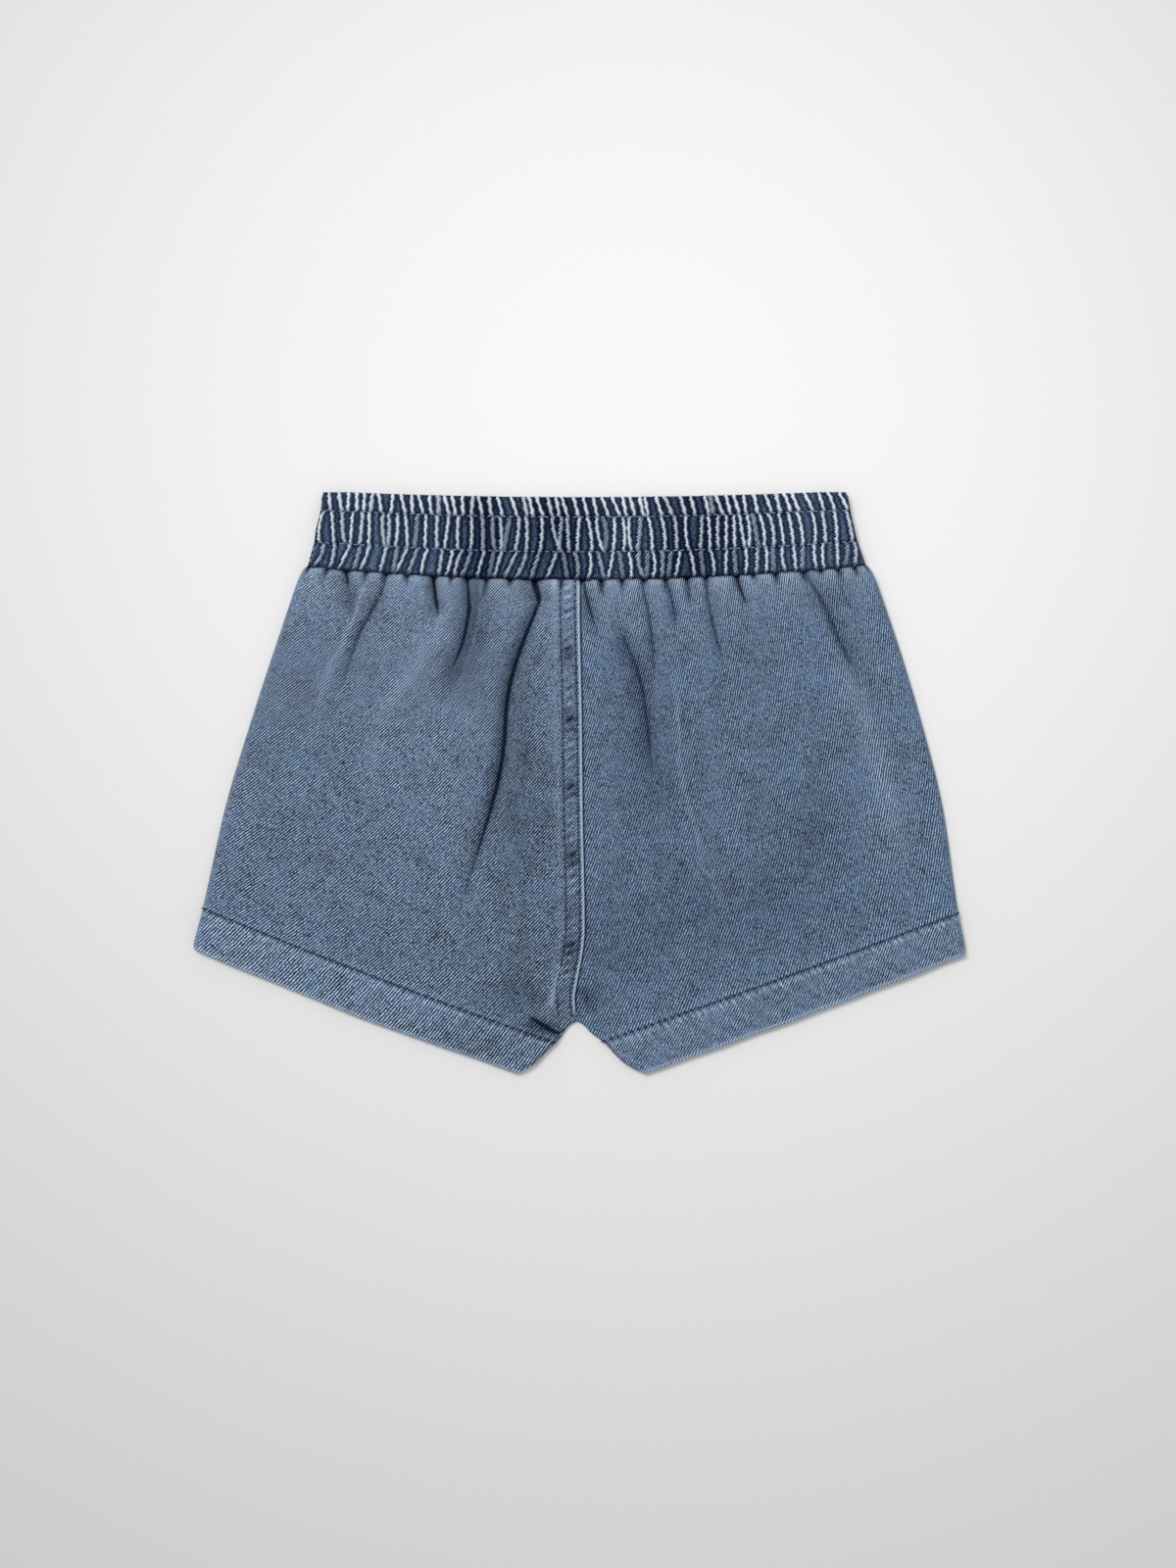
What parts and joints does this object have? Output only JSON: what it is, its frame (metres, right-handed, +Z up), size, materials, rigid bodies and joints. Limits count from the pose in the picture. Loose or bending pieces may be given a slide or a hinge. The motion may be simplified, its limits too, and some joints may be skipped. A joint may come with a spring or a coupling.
{
  "type": "denim shorts",
  "caption": "Pull-on denim shorts with a ruched elastic waistband, gathered back and slanted turned hems, lying flat with the back up.",
  "frame": {"origin": "middle of the bounding box's bottom face, on the surface the shorts lie on", "axes": "+X across the shorts towards the viewer's right, +Y from the hems to the waist, +Z up from the surface, out of the back of the shorts"},
  "size_m": [0.3238, 0.2436, 0.0075],
  "materials": {
    "waistband_denim": "washed indigo cotton twill, ruched over elastic",
    "body_denim": "washed indigo cotton twill"
  },
  "bodies": {
    "root": {"waistband_back": "waistband_denim", "waistband_front": "waistband_denim", "back_left": "body_denim", "back_right": "body_denim", "front_left": "body_denim", "front_right": "body_denim"}
  },
  "joints": []
}
